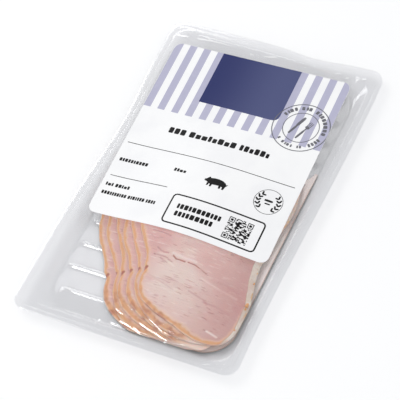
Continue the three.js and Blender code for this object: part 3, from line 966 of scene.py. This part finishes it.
def print_ink(name, shapes, material, layer=1):
    """Joins flat shapes to one printed layer, and lays it on the label."""
    bpy.ops.object.select_all(action="DESELECT")
    for shape in shapes:
        shape.select_set(True)
    bpy.context.view_layer.objects.active = shapes[0]
    if len(shapes) > 1:
        bpy.ops.object.join()
    ink = bpy.context.object
    ink.name = name
    face_up(ink)
    places = vertex_places(ink)
    x, y = places[:, 0], places[:, 1]
    core_x, core_y = (side - INK_MARGIN - LABEL_RADIUS for side in (LABEL_X, LABEL_Y))
    over_x, over_y = np.maximum(np.abs(x) - core_x, 0), np.maximum(np.abs(y) - core_y, 0)
    shorten = np.minimum(1, LABEL_RADIUS / np.maximum(np.hypot(over_x, over_y), 1e-9))
    x = np.sign(x) * (np.minimum(np.abs(x), core_x) + over_x * shorten)
    y = np.sign(y) * (np.minimum(np.abs(y), core_y) + over_y * shorten)
    lay_vertices(ink, on_label(x, y, lift=layer * INK))
    thicken(ink, 0.8 * INK)
    ink.data.materials.append(material)
    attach(ink, "root")
    ink.visible_shadow = False
    return ink


def ink_material(name, colour, worn):
    """Printing ink that varies a little in strength, under the label's thin varnish."""
    ink = Mixer(name, colour)
    ink.lay(worn, ink.patches(240, 0.45, 0.75, top=0.6))
    paper_grain(ink)
    return ink.finish(0.5, Specular_IOR_Level=0.2)


stripe_height = LABEL_Y - STRIPE_FOOT
stripes = [
    flat_plate(((i - (STRIPE_COUNT - 1) / 2) * STRIPE_PITCH, STRIPE_FOOT + stripe_height / 2),
               (STRIPE_PITCH / 2, stripe_height))
    for i in range(STRIPE_COUNT)
]
violet = ink_material("violet_ink", (181, 180, 202), (187, 186, 207))
print_ink("printed_stripes", stripes, violet)


# ---------- the dark panel
# A plain dark blue panel in the middle of the stripes, printed over them, with a rounded lower
# right corner.

PANEL_INK_X = 2.75 * STRIPE_PITCH
PANEL_FOOT = 24.8 * MM
PANEL_CORNER = 3.4 * MM
PANEL_SHIFT = -0.3 * MM
PANEL_BLEED = 0.7 * MM          # how far it prints over the stripes beside it
# x over which the painted sheen makes the blue panel paler
PAINTED_SHEEN_FADE = (-26 * MM, 14 * MM)


def blue_material():
    """The panel's ink, with a painted sheen that makes it a little paler towards the right."""
    ink = Mixer("blue_ink", (44, 51, 100))
    # Painted sheen: the ink turns paler towards the right, as if the panel mirrored a light there
    ink.lay((78, 84, 124), ink.ramp(ink.across(), *PAINTED_SHEEN_FADE))
    paper_grain(ink)
    return ink.finish(0.5, Specular_IOR_Level=0.15)


blue = blue_material()
panel_height = LABEL_Y - PANEL_FOOT
panel = flat_plate((PANEL_SHIFT, PANEL_FOOT + panel_height / 2),
                   (2 * PANEL_INK_X + PANEL_BLEED, panel_height))
places = vertex_places(panel)
corner = np.array([PANEL_INK_X - PANEL_CORNER, PANEL_FOOT + PANEL_CORNER])
past = (places[:, 0] > corner[0]) & (places[:, 1] < corner[1])
away = places[past, :2] - corner
largest = np.abs(away).max(axis=1)
places[past, :2] = corner + away * (largest / np.maximum(np.hypot(*away.T), 1e-9))[:, None]
lay_vertices(panel, places)
print_ink("printed_panel", [panel], blue, layer=2)


# ---------- rules and text blocks
# Thin rules, and rows of small plain marks where a pack has its wording. The marks spell
# nothing and are grouped like words, and a rounded frame holds two of the rows.

TEXT_ROWS = [   # left and right end, y, height of a tall mark, and the marks in each group
    (-30.5, 27.5, 2.0, 3.9, (3, 8, 6)),
    (-48.3, -31.5, -24.0, 2.15, (10,)),
    (-16.2, -9.3, -22.8, 2.15, (4,)),
    (-48.6, -34.5, -41.0, 2.15, (3, 5)),
    (-48.6, -16.6, -46.6, 2.15, (10, 7, 4)),
    (-4.2, 20.2, -45.0, 3.1, (11,)),
    (-3.8, 17.4, -49.7, 3.1, (9,)),
]
LOW_MARK = 0.76                 # height of a low mark beside a tall one
TALL_SHARE = 0.35
LONGEST_UNEVEN = 8              # a row that starts with a longer group has only tall marks
MARK_WIDTHS = (0.6, 1.1)
MARK_GAP, GROUP_GAP = 0.24, 0.8
MARK_ROUNDING = 0.12
draw = random.Random(5)


def text_blocks(left, right, y, height, groups):
    """A row of small marks of uneven width and height, with wider gaps between the groups."""
    widths = [[draw.uniform(*MARK_WIDTHS) for _ in range(count)] for count in groups]
    total = sum(sum(group) + MARK_GAP * (len(group) - 1) for group in widths)
    unit = (right - left) / (total + GROUP_GAP * (len(groups) - 1))
    marks = []
    x = left
    for group in widths:
        for i, width in enumerate(group):
            is_tall = i == 0 or draw.random() < TALL_SHARE or groups[0] > LONGEST_UNEVEN
            tall = height if is_tall else height * LOW_MARK
            centre = ((x + width * unit / 2) * MM, (y + (tall - height) / 2) * MM)
            size = (width * unit * MM, tall * MM)
            marks.append(flat_plate(centre, size, radius=MARK_ROUNDING * tall * MM))
            x += (width + MARK_GAP) * unit
        x += (GROUP_GAP - MARK_GAP) * unit
    return marks


black = ink_material("black_ink", (6, 6, 7), (12, 12, 13))
blocks = [block for row in TEXT_ROWS for block in text_blocks(*row)]
print_ink("printed_text_blocks", blocks, black)

grey = ink_material("grey_ink", (60, 60, 61), (74, 74, 75))
RULES = ((-0.6, -12.3, 96.5), (-31.7, -35.2, 34))       # middle and length, in millimetres
RULE = 0.42 * MM
rules = [flat_plate((x * MM, y * MM), (length * MM, RULE)) for x, y, length in RULES]
print_ink("printed_rules", rules, grey)


def outline_ring(outline, width):
    """A line of even width just inside a closed outline that goes round counter-clockwise."""
    bpy.ops.object.select_all(action="DESELECT")
    bpy.ops.mesh.primitive_circle_add(vertices=len(outline), radius=1)
    ring = bpy.context.object
    bpy.ops.object.mode_set(mode="EDIT")
    bpy.ops.mesh.select_all(action="SELECT")
    bpy.ops.mesh.extrude_edges_move()
    bpy.ops.object.mode_set(mode="OBJECT")
    along = np.roll(outline, -1, axis=0) - np.roll(outline, 1, axis=0)
    inward = np.column_stack([-along[:, 1], along[:, 0]]) / np.hypot(*along.T)[:, None]
    both = np.vstack([outline, outline + inward * width])
    lay_vertices(ring, np.column_stack([both, np.zeros(len(both))]))
    return ring


def rounded_outline(centre, size, radius, count):
    corners = []
    for i, (sx, sy) in enumerate([(1, -1), (1, 1), (-1, 1), (-1, -1)]):
        start = math.radians(-90 + 90 * i)
        for turn in np.linspace(0, math.pi / 2, 7):
            corners.append([sx * (size[0] / 2 - radius) + radius * math.cos(start + turn),
                            sy * (size[1] / 2 - radius) + radius * math.sin(start + turn)])
    return evenly(np.array(corners), count) + np.array(centre)


def round_outline(centre, radius, count=72):
    turns = math.tau * np.arange(count) / count
    return np.column_stack([centre[0] + radius * np.cos(turns),
                            centre[1] + radius * np.sin(turns)])


FRAME_CENTRE = (16.9 * MM, -47.2 * MM)
FRAME_SIZE = (52 * MM, 19 * MM)
FRAME_RADIUS, FRAME_LINE = 2.4 * MM, 0.85 * MM
frame_line = outline_ring(
    rounded_outline(FRAME_CENTRE, FRAME_SIZE, FRAME_RADIUS, 160), FRAME_LINE)
print_ink("printed_frame", [frame_line], black)


# ---------- the square mark
# A square of small modules with three ringed corners. The modules are drawn at random and
# stand for no message.

MARK_LOW = np.array([24.0, -54.3])      # its lower left corner and side, in millimetres
MARK_SIDE = 13.3
MODULES = 29
MODULE = MARK_SIDE / MODULES
RING = 7                        # modules along the side of a ringed corner


def corner_taken(column, row):
    """The three corners that hold a ringed square instead of modules."""
    left, right = column <= RING, column >= MODULES - RING - 1
    low, high = row <= RING, row >= MODULES - RING - 1
    return (left and low) or (left and high) or (right and high)


def module_plate(column, row, width=1, height=1):
    centre = (MARK_LOW + MODULE * np.array([column + width / 2, row + height / 2])) * MM
    return flat_plate(tuple(centre), (width * MODULE * MM, height * MODULE * MM))


modules = []
for row in range(MODULES):
    column = 0
    while column < MODULES:
        length = draw.randint(1, 3)
        room = [c for c in range(column, min(column + length, MODULES))
                if not corner_taken(c, row)]
        if draw.random() < 0.5 and room:
            modules.append(module_plate(room[0], row, width=len(room)))
        column += length
for column, row in ((0, 0), (0, MODULES - RING), (MODULES - RING, MODULES - RING)):
    centre = (MARK_LOW + MODULE * (np.array([column, row]) + RING / 2)) * MM
    square = rounded_outline(centre, (RING * MODULE * MM,) * 2, 0.1 * MM, 28)
    modules.append(outline_ring(square, MODULE * MM))
    modules.append(module_plate(column + 2, row + 2, 3, 3))
print_ink("printed_square_mark", modules, black)


# ---------- the round stamp
# A double ring over the right end of the stripes, with a ring of small blocks between, and a
# knife and a fork side by side in the middle.

STAMP_CENTRE = np.array([36.0, 24.9])
STAMP_RADIUS = 15.7
STAMP_INNER = 9.9
BLOCK_REACH = 12.8              # from the centre to the blocks' middle
BLOCK_RING = 12.9               # radius on which their widths are measured
BLOCK_GAP = 0.6
BLOCK_SHARE = 0.86              # the rest are left out, as gaps
BLOCK_ROWS = ((150, -52, 2.2), (228, 292, 1.7))     # first and last angle, and height


def turned_plate(centre, size, turn, radius=0.0):
    """A plate turned about its own centre."""
    plate = flat_plate((0, 0), (size[0] * MM, size[1] * MM), radius * MM)
    places = vertex_places(plate)
    spin = Matrix.Rotation(turn, 3, "Z")
    places = places @ np.array(spin).T
    places[:, 0] += centre[0] * MM
    places[:, 1] += centre[1] * MM
    lay_vertices(plate, places)
    return plate


stamp = [outline_ring(round_outline(STAMP_CENTRE * MM, STAMP_RADIUS * MM, 96), 0.5 * MM),
         outline_ring(round_outline(STAMP_CENTRE * MM, STAMP_INNER * MM, 72), 0.4 * MM)]
for start, end, size in BLOCK_ROWS:
    turn = start
    while (turn > end) == (start > end) and turn != end:
        width = size * draw.uniform(0.5, 0.85)
        step = math.degrees((width + BLOCK_GAP) / BLOCK_RING) * (1 if end > start else -1)
        if draw.random() < BLOCK_SHARE:
            angle = math.radians(turn)
            centre = STAMP_CENTRE + BLOCK_REACH * np.array([math.cos(angle), math.sin(angle)])
            stamp.append(turned_plate(centre, (width, size), angle - math.pi / 2, 0.3))
        turn += step
dim = ink_material("stamp_ink", (104, 104, 110), (120, 120, 128))
print_ink("printed_stamp_rings", stamp, dim, layer=3)

CUTLERY_TURN = math.radians(-24)
cutlery_parts = [   # place across and along the cutlery, its size, and its corner
    ((-2.6, -3.6), (1.3, 6.6), 0.5), ((-2.7, 2.9), (1.7, 7.0), 0.8), ((-2.6, 0), (0.8, 3), 0.2),
    ((2.6, -3.4), (1.2, 7.0), 0.5), ((2.6, 0.5), (0.7, 3), 0.2), ((2.6, 2.2), (2.5, 1.7), 0.8),
    *(((across, 4.4), (0.45, 3.6), 0.2) for across in (1.65, 2.6, 3.55)),
]
cutlery = []
for (across, along), size, radius in cutlery_parts:
    cos, sin = math.cos(CUTLERY_TURN), math.sin(CUTLERY_TURN)
    centre = STAMP_CENTRE + np.array([across * cos - along * sin, across * sin + along * cos])
    cutlery.append(turned_plate(centre, size, CUTLERY_TURN, radius))
print_ink("printed_cutlery", cutlery, dim, layer=3)


# ---------- the animal pictogram
# A small plain side view of a pig, printed solid in the middle of the label to show the kind
# of meat.

PIG_CENTRE = np.array([8.8, -24.8])
PIG = np.array([
    [-6.6, 0.9], [-5.6, 1.5], [-4.9, 2.5], [-4.3, 3.1], [-3.6, 2.3], [-1.8, 2.8], [0.6, 2.9],
    [3.0, 2.5], [4.8, 1.6], [5.6, 0.6], [6.5, 1.1], [6.0, 0.0], [5.5, -0.8], [5.1, -3.0],
    [4.1, -3.0], [4.0, -1.6], [3.3, -1.2], [3.1, -2.9], [2.2, -2.9], [1.9, -1.2], [-1.6, -1.5],
    [-1.9, -3.1], [-2.8, -3.1], [-2.9, -1.5], [-3.4, -1.3], [-3.8, -2.8], [-4.6, -2.8],
    [-4.6, -0.7], [-5.6, -0.3], [-6.6, -0.2]])
bpy.ops.object.select_all(action="DESELECT")
bpy.ops.mesh.primitive_circle_add(vertices=len(PIG), radius=1, fill_type="NGON")
pig = bpy.context.object
lay_vertices(pig, np.column_stack([(PIG + PIG_CENTRE) * MM, np.zeros(len(PIG))]))
bpy.ops.object.mode_set(mode="EDIT")
bpy.ops.mesh.select_all(action="SELECT")
bpy.ops.mesh.quads_convert_to_tris(ngon_method="BEAUTY")
bpy.ops.mesh.subdivide(number_cuts=3)
bpy.ops.object.mode_set(mode="OBJECT")
print_ink("printed_pig", [pig], black)


# ---------- the leafy ring
# A thin ring with two plain sprigs of leaves and two bars, printed beside the pig. It stands
# where such a pack has its quality mark.

SEAL_CENTRE = np.array([38.2, -25.3])
SEAL_RADIUS = 7.7
LEAVES = 5
FIRST_LEAF, LEAF_STEP = 42, 23          # degrees from the ring's foot, up each side
SPRIG_RADIUS = 5.6
LEAF_LEAN = 0.75
LEAF_SPREAD = 0.85
LEAF = (2.2, 0.95)
leaves = []
for side in (-1, 1):
    for i in range(LEAVES):
        turn = math.radians(-90 + side * (FIRST_LEAF + LEAF_STEP * i))
        outward = np.array([math.cos(turn), math.sin(turn)])
        for lean in (-LEAF_LEAN, LEAF_LEAN):
            centre = SEAL_CENTRE + (SPRIG_RADIUS + LEAF_SPREAD * lean) * outward
            leaves.append(turned_plate(centre, LEAF, turn + side * (math.pi / 2 - lean), 0.47))
leaves.append(turned_plate(SEAL_CENTRE + (0, 0.6), (4.6, 1.3), 0, 0.5))
leaves.append(turned_plate(SEAL_CENTRE - (0, 1.4), (3.0, 0.8), 0, 0.3))
print_ink("printed_leaves", leaves, black)
seal_ring = outline_ring(round_outline(SEAL_CENTRE * MM, SEAL_RADIUS * MM), 0.3 * MM)
print_ink("printed_leaf_ring", [seal_ring], grey)


# ---------- floor, light and camera
# A plain white table under wide soft lights, seen from the pack's lower right. Some lights only
# brighten the pack, and others only show as glints on the plastic.

bpy.ops.object.select_all(action="DESELECT")
bpy.ops.mesh.primitive_plane_add(size=6)
floor = bpy.context.object
floor.name = "floor"
floor_paint = bpy.data.materials.new("floor_paint")
floor_paint.use_nodes = True
paint = floor_paint.node_tree.nodes["Principled BSDF"]
paint.inputs["Base Color"].default_value = shade(253, 253, 253)
paint.inputs["Roughness"].default_value = 0.9
paint.inputs["Specular IOR Level"].default_value = 0
floor.data.materials.append(floor_paint)


def soft_light(name, place, size, power, mirrored):
    """A square soft light that looks at the pack. It either lights it or shows in its gloss."""
    light = bpy.data.lights.new(name, "AREA")
    light.size = size
    light.energy = power
    lamp = bpy.data.objects.new(name, light)
    bpy.context.scene.collection.objects.link(lamp)
    lamp.location = place
    lamp.rotation_euler = (-Vector(place)).to_track_quat("-Z", "Y").to_euler()
    lamp.visible_glossy = mirrored
    lamp.visible_diffuse = not mirrored


soft_light("key_light", (-0.72, 0.1, 1.32), 0.8, 9, mirrored=False)
soft_light("fill_light", (0.9, -0.5, 1.2), 1.2, 4.5, mirrored=False)
soft_light("front_glint", (-0.85, -0.75, 1.25), 0.55, 8, mirrored=True)
soft_light("back_glint", (-0.86, 1.17, 0.65), 0.6, 5, mirrored=True)
soft_light("left_glint", (-1.3, 0.6, 0.5), 0.5, 4, mirrored=True)

world = bpy.data.worlds.new("studio")
bpy.context.scene.world = world
world.use_nodes = True
sky = world.node_tree.nodes["Background"]
sky.inputs["Color"].default_value = (0.97, 0.98, 1.0, 1)
sky.inputs["Strength"].default_value = 0.6
bpy.context.scene.view_settings.view_transform = "Standard"

CAMERA_TARGET = Vector((1.77, -8.9, 7.3)) * MM
CAMERA_AWAY = 942 * MM
CAMERA_ANGLE = math.radians(35)
CAMERA_HEIGHT = math.radians(53)
CAMERA_ROLL = math.radians(12.8)
SENSOR = 36
PICTURE_WIDTH = 400             # in pixels, and the camera's distance to its picture
PICTURE_AWAY = 1831
LENS = PICTURE_AWAY / PICTURE_WIDTH * SENSOR
camera_data = bpy.data.cameras.new("camera")
camera_data.sensor_width = SENSOR
camera_data.lens = LENS
camera_data.clip_start = 0.05
camera = bpy.data.objects.new("camera", camera_data)
bpy.context.scene.collection.objects.link(camera)
turn = (Matrix.Rotation(CAMERA_ANGLE, 4, "Z")
        @ Matrix.Rotation(math.pi / 2 - CAMERA_HEIGHT, 4, "X")
        @ Matrix.Rotation(-CAMERA_ROLL, 4, "Z"))
camera.matrix_world = (Matrix.Translation(CAMERA_TARGET) @ turn
                       @ Matrix.Translation((0, 0, CAMERA_AWAY)))
bpy.context.scene.camera = camera
